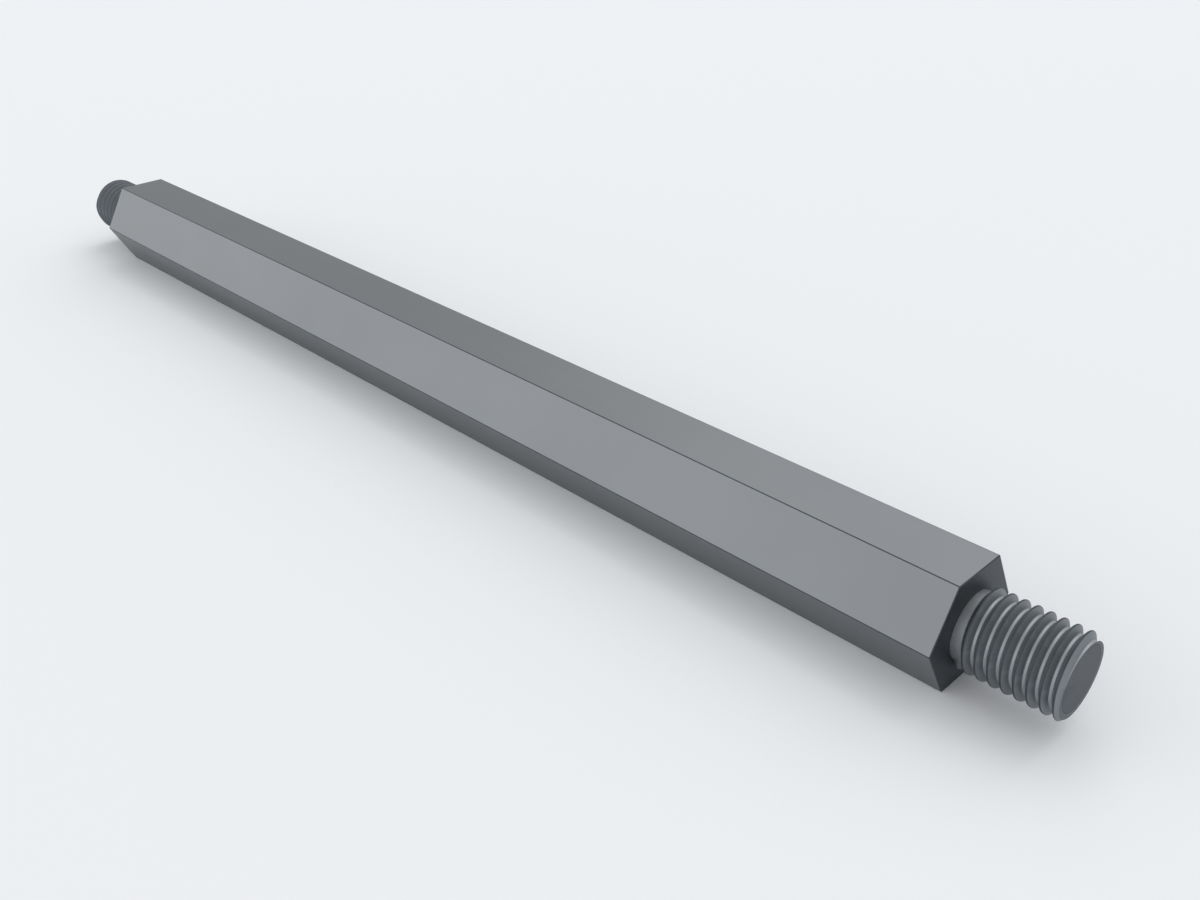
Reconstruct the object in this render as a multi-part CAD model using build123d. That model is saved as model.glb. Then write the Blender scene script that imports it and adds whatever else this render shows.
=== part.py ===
from build123d import *
from build123d.topology import SkipClean
from math import radians, tan
import os

# Threaded hex shaft: one length of hexagon bar, turned down at each end and threaded.
# It lies along X on one flat, with +Z up and the origin on its axis, midway between the shoulders.

# Hexagon bar, 7/8 in across flats and 11 3/8 in between shoulders, its sharp edges taken off all round
across_flats = 22.225
bar_length = 288.925
edge_round = 0.25

# Studs, 25/32 in long, turned to the outside diameter of a 5/8 in thread
stud_diameter = 15.68
stud_length = 19.844
nose_chamfer = 0.55

# Thread, 11 turns to the inch, right-handed, from the neck to the nose. Its section is a 60 degree V,
# and what is cut off the V's tip and foot is a share of the sharp V's height.
thread_pitch = 25.4 / 11
thread_angle = 60
crest_share = 0.125
root_share = 0.225
groove_angle = -10

# Neck, plain and as deep as the thread's root, where the groove runs out at the shoulder. The first
# ridge begins at an angle round the stud, with a ramp that climbs from the root to the crest.
ridge_start = 306
ridge_width = 0.9 * thread_pitch
ramp_angle = 17

flank_slope = tan(radians(thread_angle / 2))
sharp_height = thread_pitch / 2 / flank_slope
thread_depth = (1 - crest_share - root_share) * sharp_height
crest_radius = stud_diameter / 2
root_radius = crest_radius - thread_depth
half_root = root_share * thread_pitch / 2

# The groove is cut from one narrow sector of the stud at a time, with a short cutter for each turn,
# because short cuts stay exact. Each cutter runs past its sector by an angle and past the crest by a rise.
sectors = 12
sector_angle = 360 / sectors
ridge_sectors = round((360 - ridge_start) / sector_angle)
cutter_overlap = 5
cutter_rise = 0.06
mouth_radius = crest_radius + cutter_rise
half_mouth = half_root + (mouth_radius - root_radius) * flank_slope


def hex_bar():
    # The outline is drawn across the bar, with one flat up and one down
    outline = RegularPolygon(across_flats / 2, 6, major_radius=False)
    bar = extrude(Plane.YZ * outline, bar_length / 2, both=True)
    return fillet(bar.edges(), edge_round)


def groove_cutter(root_below, mouth_below):
    # A groove's section, swept up a short stretch of helix that begins at the angle 0 and height 0. It
    # reaches the given lengths below the helix, at the root and at the mouth, and half a groove above.
    section = Polygon(
        (root_radius, -root_below),
        (mouth_radius, -mouth_below),
        (mouth_radius, half_mouth),
        (root_radius, half_root),
        align=None,
    )
    stretch = sector_angle + 2 * cutter_overlap
    helix = Helix(pitch=thread_pitch, height=thread_pitch * stretch / 360, radius=root_radius)
    return sweep(Plane.XZ * section, path=helix, is_frenet=True)


def on_helix(angle):
    # Where a cutter goes to follow the groove: up one pitch for each full turn
    return Pos(0, 0, thread_pitch * (angle - groove_angle) / 360) * Rot(0, 0, angle)


def stud_sector(number, groove, neck):
    # One sector of the plain stud, standing on the shoulder, less the turns of the groove that pass it
    section = Polygon(
        (0, 0),
        (crest_radius, 0),
        (crest_radius, stud_length - nose_chamfer),
        (crest_radius - nose_chamfer, stud_length),
        (0, stud_length),
        align=None,
    )
    start = ridge_start - 360 + number * sector_angle
    blank = Rot(0, 0, start) * revolve(Plane.XZ * section, Axis.Z, sector_angle)
    turns = range(int(stud_length / thread_pitch) + 2)
    cutters = [on_helix(start - cutter_overlap + 360 * turn) * groove for turn in turns]
    if number >= ridge_sectors:
        # In all but the sectors where the first ridge begins, the lowest turn is the neck's
        cutters[0] = on_helix(start - cutter_overlap) * neck
    return blank.cut(*cutters)


def above_ramp():
    # What lies outside the ramp on the first ridge
    block = Box(stud_diameter, stud_diameter, ridge_width, align=Align.MIN)
    return Rot(0, 0, ridge_start) * Pos(root_radius, 0, 0) * Rot(0, 0, -ramp_angle) * block


def threaded_stud():
    groove = groove_cutter(half_root, half_mouth)
    neck = groove_cutter(thread_pitch, thread_pitch)
    first, *others = [stud_sector(number, groove, neck) for number in range(sectors)]
    return first.fuse(*others).cut(above_ramp())


def threaded_hex_shaft():
    # The stud is laid along X at the right-hand shoulder, and the other is the same one turned end for end
    right_stud = Pos(bar_length / 2, 0, 0) * Rot(0, 90, 0) * threaded_stud()
    left_stud = Rot(0, 0, 180) * right_stud
    return hex_bar().fuse(right_stud, left_stud)


# Faces stay divided where the sectors meet
with SkipClean():
    shaft = threaded_hex_shaft()
os.makedirs("parts", exist_ok=True)
export_step(shaft, "parts/shaft.step")
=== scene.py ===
from math import acos, atan2, cos, degrees, pi, radians, sin, sqrt, tan

import bmesh
import bpy
from mathutils import Matrix, Vector


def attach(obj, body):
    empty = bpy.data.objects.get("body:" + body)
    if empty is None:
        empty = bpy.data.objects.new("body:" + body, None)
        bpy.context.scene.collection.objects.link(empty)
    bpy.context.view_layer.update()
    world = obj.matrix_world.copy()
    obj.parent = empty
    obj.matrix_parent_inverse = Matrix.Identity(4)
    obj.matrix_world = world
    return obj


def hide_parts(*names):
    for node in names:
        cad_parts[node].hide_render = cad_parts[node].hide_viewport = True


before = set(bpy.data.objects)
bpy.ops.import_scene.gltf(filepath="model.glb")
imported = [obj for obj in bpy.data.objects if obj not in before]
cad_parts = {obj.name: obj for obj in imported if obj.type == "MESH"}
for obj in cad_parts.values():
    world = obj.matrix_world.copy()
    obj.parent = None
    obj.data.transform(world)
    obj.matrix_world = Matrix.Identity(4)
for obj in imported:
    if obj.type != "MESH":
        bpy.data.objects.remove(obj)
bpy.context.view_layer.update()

mm = 0.001               # sizes are written in millimetres, and Blender works in metres
flatAngle = 60           # degrees that each flat of a hexagon reaches round its axis
halfFlat = radians(flatAngle / 2)


def toLinear(hexColour):  # "8f9295" as written in sRGB, to the linear values the shaders take
    channels = [int(hexColour[i:i + 2], 16) / 255 for i in (0, 2, 4)]
    return [c / 12.92 if c <= 0.04045 else ((c + 0.055) / 1.055) ** 2.4 for c in channels] + [1]


def addNode(tree, kind, inputs=None, **settings):
    # Each input is a value or another node's output, and the new node's outputs are given back. A colour mix
    # takes its factor at input 0 and its colours at 6 and 7, and gives the mix at output 2.
    node = tree.nodes.new(kind)
    for name, value in settings.items():
        setattr(node, name, value)
    for name, value in (inputs or {}).items():
        if isinstance(value, bpy.types.NodeSocket):
            tree.links.new(value, node.inputs[name])
        else:
            node.inputs[name].default_value = value
    return node.outputs


def newMaterial(name):
    material = bpy.data.materials.new(name)
    material.use_nodes = True
    material.node_tree.nodes.clear()
    return material, material.node_tree


# One bar with a threaded stud at each end, in millimetres and degrees, with its angles counted from +Y. The
# sizes are the part's own, and the thread gets small rounds on its crest and in its root.
shaftSize = {
    "acrossFlats": 22.225,
    "barLength": 288.925,
    "edgeRound": 0.25,
    "studDiameter": 15.68,
    "studLength": 19.844,
    "noseChamfer": 0.55,
    "threadPitch": 25.4 / 11,
    "threadAngle": 60,
    "crestShare": 0.125,      # of the sharp V's height, cut off its tip
    "rootShare": 0.225,       # and off its foot
    "crestRound": 0.16,
    "rootRound": 0.2,
    "groovePhase": 100,       # how far before +Y the middle of a groove meets the shoulder
    "ridgeStart": 216,        # where round the stud the first ridge begins
    "ridgeWidth": 0.9,        # of a pitch, at the shoulder
    "rampAngle": 17,          # at which that ridge climbs from the root to the crest
    "turnSteps": 120,         # mesh points round the axis,
    "edgeSteps": 6,           # over a rounded edge of the bar
    "profileSteps": 3,        # and over a rounded corner of the thread
    "weldWithin": 0.0005,     # mesh points as close as this become one,
    "dropUnder": 0.0002,      # and edges shorter than this are taken out
    "sharpFrom": 33,          # between two faces, for a hard edge in the shading
}


def roundedCorners(points, radii, steps):
    # an open line of points, with an arc of the given radius at each inner one
    out = [points[0]]
    for before, corner, after, radius in zip(points, points[1:], points[2:], radii):
        toBefore = (before - corner).normalized()
        toAfter = (after - corner).normalized()
        half = acos(max(-1, min(1, toBefore.dot(toAfter)))) / 2
        centre = corner + (toBefore + toAfter).normalized() * radius / sin(half)
        start = corner + toBefore * radius / tan(half) - centre
        end = corner + toAfter * radius / tan(half) - centre
        for step in range(steps + 1):
            out.append(centre + start.slerp(end, step / steps) * radius)  # slerp gives a unit vector
    return out + [points[-1]]


def threadProfile(size):
    # one pitch of the thread's section, as (distance along the axis, radius) from a root to the next
    pitch = size["threadPitch"]
    sharpHeight = pitch / 2 / tan(radians(size["threadAngle"] / 2))
    depth = (1 - size["crestShare"] - size["rootShare"]) * sharpHeight
    crest = size["studDiameter"] / 2
    root = crest - depth
    halfRoot = size["rootShare"] * pitch / 2
    halfCrest = size["crestShare"] * pitch / 2
    corners = [
        Vector((0, root)),
        Vector((halfRoot, root)),
        Vector((pitch / 2 - halfCrest, crest)),
        Vector((pitch / 2 + halfCrest, crest)),
        Vector((pitch - halfRoot, root)),
        Vector((pitch, root)),
    ]
    radii = [size["rootRound"], size["crestRound"], size["crestRound"], size["rootRound"]]
    return roundedCorners(corners, radii, size["profileSteps"])[:-1]


def cornerCircle(size, inset):
    # how far out the centre of a rounded corner lies, and the angle at which its arc meets the flat
    radius = size["edgeRound"] - inset
    centre = (size["acrossFlats"] / 2 - size["edgeRound"]) / cos(halfFlat)
    reach = atan2(radius * sin(halfFlat), centre + radius * cos(halfFlat))
    return centre, degrees(reach)


def turnAngles(size):
    # even steps round the axis, with more of them where a corner of the hexagon is rounded
    angles = [360 / size["turnSteps"] * i for i in range(size["turnSteps"])]
    reach = cornerCircle(size, 0)[1]
    halfSteps = size["edgeSteps"] // 2
    for corner in range(0, 360, flatAngle):
        for step in range(1, halfSteps + 1):
            offset = reach * step / halfSteps
            angles += [corner + offset, (corner - offset) % 360]
    return sorted(angles)


def hexRadius(size, angle, inset):
    # from the axis to the rounded hexagon, drawn in by the inset
    centre, reach = cornerCircle(size, inset)
    radius = size["edgeRound"] - inset
    fromCorner = abs((angle + flatAngle / 2) % flatAngle - flatAngle / 2)
    if fromCorner < reach:
        turn = radians(fromCorner)
        return centre * cos(turn) + sqrt(max(radius ** 2 - (centre * sin(turn)) ** 2, 0))
    return (size["acrossFlats"] / 2 - inset) / cos(halfFlat - radians(fromCorner))


def studColumn(size, angle, profile, turns):
    # the stud's outline at one angle, from the shoulder to the nose, with as many points at every angle
    pitch = size["threadPitch"]
    length = size["studLength"]
    ahead = angle + size["groovePhase"]
    advance = pitch * ahead / 360
    outline = [Vector((p.x + advance + pitch * turn, p.y)) for turn in turns for p in profile]

    # the neck is as deep as the root and runs up to the middle of the first groove, and a ramp cuts across
    # the first ridge where it begins
    root = profile[0].y
    ramp = radians(size["rampAngle"])
    climb = radians(angle - size["ridgeStart"])
    onNeck = climb <= 0 or ahead >= 360
    for point in outline:
        if onNeck and point.x < advance % pitch:
            point.y = root
        elif not onNeck and point.x < size["ridgeWidth"] * pitch:
            point.y = min(point.y, root * cos(ramp) / cos(climb + ramp))

    def plainRadius(x):  # the stud without its thread, drawn in by the chamfer
        return size["studDiameter"] / 2 - max(0, x - (length - size["noseChamfer"]))

    def threadRadius(x):
        for a, b in zip(outline, outline[1:]):
            if a.x <= x <= b.x:
                return min(a.y + (b.y - a.y) * (x - a.x) / (b.x - a.x), plainRadius(x))

    # where the outline crosses the chamfer, the point outside it moves to the crossing
    hair = 1e-9  # mm, so that a point on the chamfer isn't taken as outside it
    line = [point.copy() for point in outline]
    for i, (a, b) in enumerate(zip(outline, outline[1:])):
        overA = a.y - plainRadius(a.x)
        overB = b.y - plainRadius(b.x)
        if (overA > hair) != (overB > hair) and overA != overB:
            line[i if overA > overB else i + 1] = a.lerp(b, overA / (overA - overB))

    # all points before the shoulder become one point on it, and all points past the nose one on that
    shoulderPoint = Vector((0, threadRadius(0)))
    nosePoint = Vector((length, threadRadius(length)))
    column = []
    for point in line:
        if point.x <= 0:
            column.append(shoulderPoint)
        elif point.x >= length:
            column.append(nosePoint)
        else:
            column.append(Vector((point.x, min(point.y, plainRadius(point.x)))))
    return column


def buildShaft(size):
    drawn, faced, cut = range(3)  # the finishes, in the order in which the materials are added further down
    angles = turnAngles(size)
    count = len(angles)
    halfBar = size["barLength"] / 2
    profile = threadProfile(size)
    turns = range(-2, int(size["studLength"] / size["threadPitch"]) + 2)  # past both ends at every angle
    bm = bmesh.new()

    def addPoint(x, angle, radius):
        turn = radians(angle)
        return bm.verts.new((x * mm, radius * cos(turn) * mm, radius * sin(turn) * mm))

    def bridge(first, second, finish):
        for i in range(count):
            k = (i + 1) % count
            bm.faces.new((first[i], first[k], second[k], second[i])).material_index = finish

    def differentCorners(quad):  # corners within a hundred-thousandth of a millimetre count as one
        return len({tuple(round(c, 8) for c in vert.co) for vert in quad})

    # the bar, from its middle to the shoulder
    rings = [[addPoint(0, a, hexRadius(size, a, 0)) for a in angles]]
    for step in range(size["edgeSteps"] + 1):
        turn = radians(90 * step / size["edgeSteps"])
        inset = size["edgeRound"] * (1 - cos(turn))
        x = halfBar - size["edgeRound"] * (1 - sin(turn))
        rings.append([addPoint(x, a, hexRadius(size, a, inset)) for a in angles])
    for first, second in zip(rings, rings[1:]):
        bridge(first, second, drawn)

    # the thread, column by column
    grid = []
    for a in angles:
        grid.append([addPoint(halfBar + p.x, a, p.y) for p in studColumn(size, a, profile, turns)])
    for j in range(count):
        k = (j + 1) % count
        shift = 0 if k else len(profile)  # after a full turn each line goes on one pitch further
        for i in range(len(grid[j]) - 1 - shift):
            quad = (grid[j][i], grid[j][i + 1], grid[k][i + 1 + shift], grid[k][i + shift])
            if differentCorners(quad) > 2:
                bm.faces.new(quad).material_index = cut

    # the shoulder and the nose
    bridge(rings[-1], [column[0] for column in grid], faced)
    centre = addPoint(halfBar + size["studLength"], 0, 0)
    nose = [column[-1] for column in grid]
    for i in range(count):
        bm.faces.new((nose[i], nose[(i + 1) % count], centre)).material_index = faced

    # the other half is the same one turned end for end
    half = bm.verts[:] + bm.edges[:] + bm.faces[:]
    copied = bmesh.ops.duplicate(bm, geom=half)["geom"]
    copiedVerts = [element for element in copied if isinstance(element, bmesh.types.BMVert)]
    bmesh.ops.rotate(bm, cent=(0, 0, 0), matrix=Matrix.Rotation(pi, 3, "Z"), verts=copiedVerts)
    bmesh.ops.remove_doubles(bm, verts=bm.verts, dist=size["weldWithin"] * mm)
    bmesh.ops.dissolve_degenerate(bm, dist=size["dropUnder"] * mm, edges=bm.edges)
    bmesh.ops.recalc_face_normals(bm, faces=bm.faces)
    mesh = bpy.data.meshes.new("hex_shaft")
    bm.to_mesh(mesh)
    bm.free()

    mesh.polygons.foreach_set("use_smooth", [True] * len(mesh.polygons))
    mesh.set_sharp_from_angle(angle=radians(size["sharpFrom"]))
    shaft = bpy.data.objects.new("hex_shaft", mesh)
    bpy.context.scene.collection.objects.link(shaft)
    smooth = shaft.modifiers.new("wide faces keep their own shading", "WEIGHTED_NORMAL")
    smooth.mode = "FACE_AREA"
    smooth.keep_sharp = True
    return shaft


noiseMiddle = {"From Min": 0.3, "From Max": 0.7}  # most of a noise pattern's values lie between these


def placeOnShaft(tree):
    # where a point lies, and how far from the axis
    place = addNode(tree, "ShaderNodeTexCoord")["Object"]
    x, y, z = addNode(tree, "ShaderNodeSeparateXYZ", {"Vector": place})
    outward = addNode(tree, "ShaderNodeCombineXYZ", {"Y": y, "Z": z})["Vector"]
    radius = addNode(tree, "ShaderNodeVectorMath", {"Vector": outward}, operation="LENGTH")["Value"]
    return {"whole": place, "x": x, "y": y, "z": z, "radius": radius}


def finishSteel(tree, colour, marks, roughness, depth):
    # the marks that the tool left vary the steel's roughness and stand up from it a little
    rough = addNode(tree, "ShaderNodeMapRange", {
        "Value": marks, **noiseMiddle, "To Min": roughness[0], "To Max": roughness[1]})["Result"]
    relief = addNode(tree, "ShaderNodeBump", {
        "Height": marks, "Strength": 1.0, "Distance": depth * mm})["Normal"]
    shader = addNode(tree, "ShaderNodeBsdfPrincipled", {
        "Base Color": colour, "Metallic": 1.0, "Roughness": rough, "Normal": relief})["BSDF"]
    addNode(tree, "ShaderNodeOutputMaterial", {"Surface": shader})


# Bright cold-drawn steel bar, pulled through a die and wiped with oil. The eye sees an even satin grey that
# the light slides along, with faint lines from end to end, hardly any change of tone, and edges that stay
# darker than the flats.
drawnBar = {
    "colour": "828587",
    "darkColour": "7b7e81",
    "edgeColour": "4d5155",
    "roughness": (0.39, 0.45),
    "lineWidth": 0.45,    # mm across a die line, where real ones are under 0.1 and too fine to show
    "lineLength": 70,
    "lineDepth": 0.003,
    "lineShare": 0.6,     # of the change between the two colours, and the rest is the tone's
    "toneSize": 28,       # mm from a lighter place to a darker one
}


def makeColdDrawnSteel():
    look = drawnBar
    material, tree = newMaterial("coldDrawnSteel")
    place = placeOnShaft(tree)
    along = 1 / (look["lineLength"] * mm)
    across = 1 / (look["lineWidth"] * mm)
    stretched = addNode(tree, "ShaderNodeMapping", {
        "Vector": place["whole"], "Scale": (along, across, across)})["Vector"]
    lines = addNode(tree, "ShaderNodeTexNoise", {
        "Vector": stretched, "Scale": 1.0, "Detail": 3.0, "Roughness": 0.6})["Fac"]
    tone = addNode(tree, "ShaderNodeTexNoise", {
        "Vector": place["whole"], "Scale": 1 / (look["toneSize"] * mm), "Detail": 2.0})["Fac"]
    fromLines = addNode(tree, "ShaderNodeMapRange", {
        "Value": lines, **noiseMiddle, "To Min": 0.0, "To Max": look["lineShare"]})["Result"]
    fromTone = addNode(tree, "ShaderNodeMapRange", {
        "Value": tone, **noiseMiddle, "To Min": 0.0, "To Max": 1 - look["lineShare"]})["Result"]
    lightness = addNode(tree, "ShaderNodeMath", {0: fromLines, 1: fromTone}, operation="ADD")["Value"]
    colour = addNode(tree, "ShaderNodeMix", {
        0: lightness, 6: toLinear(look["darkColour"]), 7: toLinear(look["colour"])}, data_type="RGBA")[2]

    # the rounds begin this far from the axis on the long edges, and this far from the middle at the ends
    edgeRound = shaftSize["edgeRound"]
    cornerStart = cornerCircle(shaftSize, 0)[0] + edgeRound * cos(halfFlat)
    endStart = shaftSize["barLength"] / 2 - edgeRound
    onCorner = addNode(tree, "ShaderNodeMath", {
        0: place["radius"], 1: cornerStart * mm}, operation="GREATER_THAN")["Value"]
    fromMiddle = addNode(tree, "ShaderNodeMath", {0: place["x"]}, operation="ABSOLUTE")["Value"]
    onEnd = addNode(tree, "ShaderNodeMath", {
        0: fromMiddle, 1: endStart * mm}, operation="GREATER_THAN")["Value"]
    onEdge = addNode(tree, "ShaderNodeMath", {0: onCorner, 1: onEnd}, operation="MAXIMUM")["Value"]
    colour = addNode(tree, "ShaderNodeMix", {
        0: onEdge, 6: colour, 7: toLinear(look["edgeColour"])}, data_type="RGBA")[2]
    finishSteel(tree, colour, lines, look["roughness"], look["lineDepth"])
    return material


# The same steel faced with a lathe tool. The eye sees a duller grey with fine rings round the axis, coloured
# darker than the bar as painted shade, and on the nose a slightly lighter rim, a painted highlight, that a
# thin dark ring marks off.
facedEndWithPaintedShade = {
    # painted shade: both colours of the faced steel are darker than the bar's, so that its faces look shaded
    "colour": "5a5f63",
    "darkColour": "55595e",
    # a painted highlight: the rim on the nose is coloured lighter, as a sloped edge catching the light would
    # look
    "paintedHighlightRimColour": "6a6f74",
    "lineColour": "33373b",
    "roughness": (0.50, 0.56),
    "ringPitch": 0.36,    # mm from ring to ring, where a real feed leaves about 0.1
    "ringDepth": 0.002,
    "rimRadius": 6.12,    # mm from the axis to the middle of the dark ring
    "rimLine": 0.15,      # mm across it
}


def makeFacedSteel():
    look = facedEndWithPaintedShade
    material, tree = newMaterial("facedSteel")
    place = placeOnShaft(tree)
    ringsOut = addNode(tree, "ShaderNodeMath", {
        0: place["radius"], 1: look["ringPitch"] / 2 * mm}, operation="DIVIDE")["Value"]
    rings = addNode(tree, "ShaderNodeTexNoise", {
        "W": ringsOut, "Scale": 1.0, "Detail": 2.0, "Roughness": 0.6}, noise_dimensions="1D")["Fac"]
    lightness = addNode(tree, "ShaderNodeMapRange", {
        "Value": rings, **noiseMiddle, "To Min": 0.0, "To Max": 1.0})["Result"]
    colour = addNode(tree, "ShaderNodeMix", {
        0: lightness, 6: toLinear(look["darkColour"]), 7: toLinear(look["colour"])}, data_type="RGBA")[2]

    # the shoulder lies before the middle of the stud, and the nose, which has the rim with its painted
    # highlight, past it
    rimRadius = look["rimRadius"] * mm
    studMiddle = (shaftSize["barLength"] + shaftSize["studLength"]) / 2 * mm
    fromMiddle = addNode(tree, "ShaderNodeMath", {0: place["x"]}, operation="ABSOLUTE")["Value"]
    onNose = addNode(tree, "ShaderNodeMath", {
        0: fromMiddle, 1: studMiddle}, operation="GREATER_THAN")["Value"]
    farOut = addNode(tree, "ShaderNodeMath", {
        0: place["radius"], 1: rimRadius}, operation="GREATER_THAN")["Value"]
    onPaintedHighlightRim = addNode(tree, "ShaderNodeMath", {0: onNose, 1: farOut}, operation="MULTIPLY")["Value"]
    colour = addNode(tree, "ShaderNodeMix", {
        0: onPaintedHighlightRim, 6: colour, 7: toLinear(look["paintedHighlightRimColour"])}, data_type="RGBA")[2]
    nearLine = addNode(tree, "ShaderNodeMath", {
        0: place["radius"], 1: rimRadius, 2: look["rimLine"] / 2 * mm}, operation="COMPARE")["Value"]
    onLine = addNode(tree, "ShaderNodeMath", {0: onNose, 1: nearLine}, operation="MULTIPLY")["Value"]
    colour = addNode(tree, "ShaderNodeMix", {
        0: onLine, 6: colour, 7: toLinear(look["lineColour"])}, data_type="RGBA")[2]
    finishSteel(tree, colour, rings, look["roughness"], look["ringDepth"])
    return material


# The same steel with a thread cut by a die. The eye sees rough grey flanks with lines that follow the helix,
# painted lighter on the side towards the nose and darker on the side towards the shoulder, as painted light
# and shade; crests that keep the dark skin of the turned stud; and roots painted lighter, a painted highlight
# in place of the light that the ridges on either side shade off them.
cutThread = {
    # painted light and shade: the flank towards the nose is coloured lighter, the one towards the shoulder
    # darker
    "noseFlankPaintedLightColour": "8e9397",
    "shoulderFlankPaintedShadeColour": "82878c",
    "crestColour": "4f5459",
    # a painted highlight: the roots and the neck are coloured lighter than the flanks
    "rootPaintedHighlightColour": "a8abae",
    "crestBand": (0.12, 0.02),   # mm below the crest, where its colour begins and where it is full
    "rootPaintedHighlightBand": (0.02, 0.14),    # mm above the root, where its colour stops being full and where it ends
    "lineTone": 0.1,             # how much darker a tool line is
    "roughness": (0.52, 0.60),
    "lineWidth": 0.16,           # mm across a tool line, where real ones are about 0.05
    "lineLength": 4,
    "lineDepth": 0.0015,
}


def makeCutThreadSteel():
    look = cutThread
    material, tree = newMaterial("cutThreadSteel")
    place = placeOnShaft(tree)
    pitch = shaftSize["threadPitch"]

    # how far a point lies round the thread's own section, which stays the same all along the helix
    perTurn = addNode(tree, "ShaderNodeMath", {
        0: place["x"], 1: 2 * pi / (pitch * mm)}, operation="MULTIPLY")["Value"]
    turn = addNode(tree, "ShaderNodeMath", {0: place["z"], 1: place["y"]}, operation="ARCTAN2")["Value"]
    section = addNode(tree, "ShaderNodeMath", {0: perTurn, 1: turn}, operation="SUBTRACT")["Value"]

    # the lines lie round a circle as long as the pitch, so that they close where one turn meets the next
    circleRadius = pitch / (2 * pi * look["lineWidth"])
    cosine = addNode(tree, "ShaderNodeMath", {0: section}, operation="COSINE")["Value"]
    sine = addNode(tree, "ShaderNodeMath", {0: section}, operation="SINE")["Value"]
    wound = addNode(tree, "ShaderNodeCombineXYZ", {
        "X": addNode(tree, "ShaderNodeMath", {0: cosine, 1: circleRadius}, operation="MULTIPLY")["Value"],
        "Y": addNode(tree, "ShaderNodeMath", {0: sine, 1: circleRadius}, operation="MULTIPLY")["Value"],
        "Z": addNode(tree, "ShaderNodeMath", {
            0: place["x"], 1: 1 / (look["lineLength"] * mm)}, operation="MULTIPLY")["Value"],
    })["Vector"]
    lines = addNode(tree, "ShaderNodeTexNoise", {
        "Vector": wound, "Scale": 1.0, "Detail": 2.0, "Roughness": 0.6})["Fac"]

    # painted light and shade by which way a flank faces, with the change from one side's colour to the
    # other's on the crest and the root
    normal = addNode(tree, "ShaderNodeTexCoord")["Normal"]
    facing = addNode(tree, "ShaderNodeSeparateXYZ", {"Vector": normal})["X"]
    end = addNode(tree, "ShaderNodeMath", {0: place["x"]}, operation="SIGN")["Value"]
    towardsNose = addNode(tree, "ShaderNodeMath", {0: facing, 1: end}, operation="MULTIPLY")["Value"]
    paintedLightOnNoseSide = addNode(tree, "ShaderNodeMapRange", {
        "Value": towardsNose, "From Min": -0.5, "From Max": 0.5})["Result"]
    colour = addNode(tree, "ShaderNodeMix", {
        0: paintedLightOnNoseSide,
        6: toLinear(look["shoulderFlankPaintedShadeColour"]),
        7: toLinear(look["noseFlankPaintedLightColour"]),
    }, data_type="RGBA")[2]

    # the root's painted highlight and the crest, by their distance from the axis
    heights = [point.y for point in threadProfile(shaftSize)]
    rootHighlightFull, rootHighlightEnd = [(min(heights) + h) * mm for h in look["rootPaintedHighlightBand"]]
    onRootPaintedHighlight = addNode(tree, "ShaderNodeMapRange", {
        "Value": place["radius"], "From Min": rootHighlightFull, "From Max": rootHighlightEnd,
        "To Min": 1.0, "To Max": 0.0})["Result"]
    colour = addNode(tree, "ShaderNodeMix", {
        0: onRootPaintedHighlight, 6: colour, 7: toLinear(look["rootPaintedHighlightColour"])}, data_type="RGBA")[2]
    crestStart, crestFull = [(max(heights) - h) * mm for h in look["crestBand"]]
    onCrest = addNode(tree, "ShaderNodeMapRange", {
        "Value": place["radius"], "From Min": crestStart, "From Max": crestFull})["Result"]
    colour = addNode(tree, "ShaderNodeMix", {
        0: onCrest, 6: colour, 7: toLinear(look["crestColour"])}, data_type="RGBA")[2]

    darkening = addNode(tree, "ShaderNodeMapRange", {
        "Value": lines, **noiseMiddle, "To Min": look["lineTone"], "To Max": 0.0})["Result"]
    colour = addNode(tree, "ShaderNodeMix", {
        0: darkening, 6: colour, 7: toLinear("000000")}, data_type="RGBA")[2]
    finishSteel(tree, colour, lines, look["roughness"], look["lineDepth"])
    return material


shaft = buildShaft(shaftSize)
triangles = sum(len(face.vertices) - 2 for face in shaft.data.polygons)
print("shaft:", len(shaft.data.polygons), "faces,", triangles, "triangles")
for material in (makeColdDrawnSteel(), makeFacedSteel(), makeCutThreadSteel()):
    shaft.data.materials.append(material)
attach(shaft, "root")
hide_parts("shaft")
print("materials:", ", ".join(material.name for material in shaft.data.materials))


floorSheet = {
    "colour": "f5f6f8",
    "width": 12,          # metres
}


def buildFloor():
    height = -shaftSize["acrossFlats"] / 2 * mm
    half = floorSheet["width"] / 2
    corners = [(-half, -half, height), (half, -half, height), (half, half, height), (-half, half, height)]
    mesh = bpy.data.meshes.new("floor")
    mesh.from_pydata(corners, [], [(0, 1, 2, 3)])
    floor = bpy.data.objects.new("floor", mesh)
    bpy.context.scene.collection.objects.link(floor)
    # paper left uncoated, which the eye sees as one pale even tone without gloss
    material, tree = newMaterial("uncoatedPaper")
    shader = addNode(tree, "ShaderNodeBsdfDiffuse", {"Color": toLinear(floorSheet["colour"])})["BSDF"]
    addNode(tree, "ShaderNodeOutputMaterial", {"Surface": shader})
    mesh.materials.append(material)


studioWorld = {
    "colour": "f4f6f8",
    "strength": 0.75,
}


def buildWorld():
    world = bpy.data.worlds.new("studio")
    bpy.context.scene.world = world
    world.use_nodes = True
    tree = world.node_tree
    tree.nodes.clear()
    shade = addNode(tree, "ShaderNodeBackground", {
        "Color": toLinear(studioWorld["colour"]), "Strength": studioWorld["strength"]})["Background"]
    addNode(tree, "ShaderNodeOutputWorld", {"Surface": shade})


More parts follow.
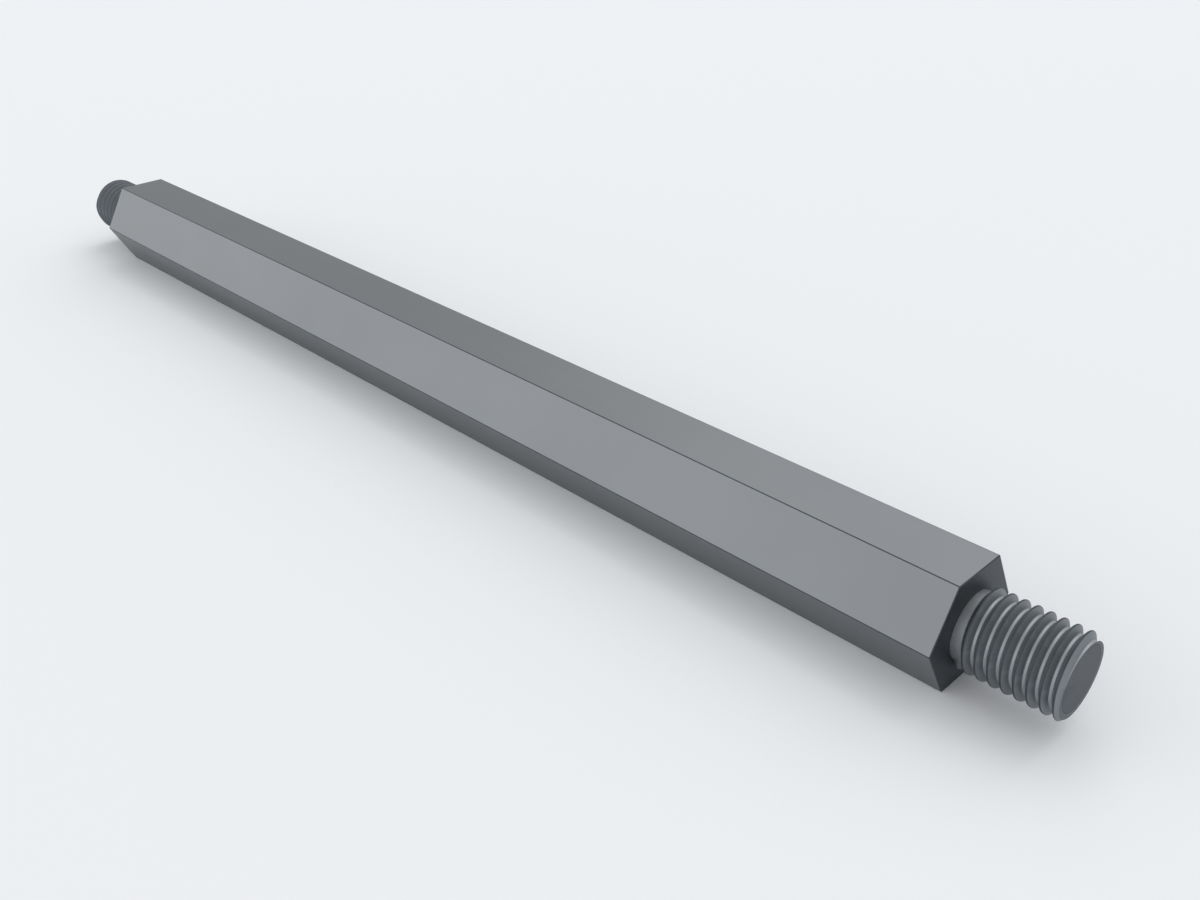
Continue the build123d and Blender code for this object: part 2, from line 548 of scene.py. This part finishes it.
# Each lamp by its direction as seen from the shaft, in degrees from +X round to +Y and up from the floor. The
# panels' distances and sizes are in metres, and a brightness of 1 is that of white paper.
lamps = {
    "overheadLamp": {"azimuth": 112, "elevation": 70, "spread": 60, "strength": 0.15},
    "backPanel": {"azimuth": 104, "elevation": 50, "distance": 7.5, "size": (7, 6), "brightness": 0.95},
    "frontPanel": {"azimuth": 232, "elevation": 19, "distance": 7.5, "size": (13, 4.5), "brightness": 0.97},
}


def buildLamps():
    for name, lamp in lamps.items():
        azimuth = radians(lamp["azimuth"])
        elevation = radians(lamp["elevation"])
        direction = Vector((cos(elevation) * cos(azimuth), cos(elevation) * sin(azimuth), sin(elevation)))
        if "size" in lamp:
            data = bpy.data.lights.new(name, "AREA")
            data.shape = "RECTANGLE"
            data.size, data.size_y = lamp["size"]
            data.energy = pi * data.size * data.size_y * lamp["brightness"]
        else:
            data = bpy.data.lights.new(name, "SUN")
            data.angle = radians(lamp["spread"])
            data.energy = lamp["strength"]
        light = bpy.data.objects.new(name, data)
        light.location = direction * lamp.get("distance", 1)
        light.rotation_euler = direction.to_track_quat("Z", "Y").to_euler()
        light.visible_camera = False
        bpy.context.scene.collection.objects.link(light)


cameraView = {
    "place": (217.95, -162.51, 130.50),   # mm from the middle of the shaft
    "azimuth": 45,                        # degrees that it looks from, round from -Y towards +X
    "elevation": 30,                      # and up from the floor
    "fieldOfView": 40,                    # degrees from the top of the picture to its foot
    "pictureShape": 3 / 4,
}


def buildCamera():
    data = bpy.data.cameras.new("camera")
    data.sensor_fit = "HORIZONTAL"
    data.sensor_width = 36
    sensorHeight = data.sensor_width * cameraView["pictureShape"]
    data.lens = sensorHeight / 2 / tan(radians(cameraView["fieldOfView"] / 2))
    data.clip_start = 10 * mm
    camera = bpy.data.objects.new("camera", data)
    camera.location = [c * mm for c in cameraView["place"]]
    camera.rotation_euler = (radians(90 - cameraView["elevation"]), 0, radians(cameraView["azimuth"]))
    bpy.context.scene.collection.objects.link(camera)
    bpy.context.scene.camera = camera


buildFloor()
buildWorld()
buildLamps()
buildCamera()
bpy.context.scene.view_settings.view_transform = "Standard"
print("studio: floor, world,", len(lamps), "lamps and camera")
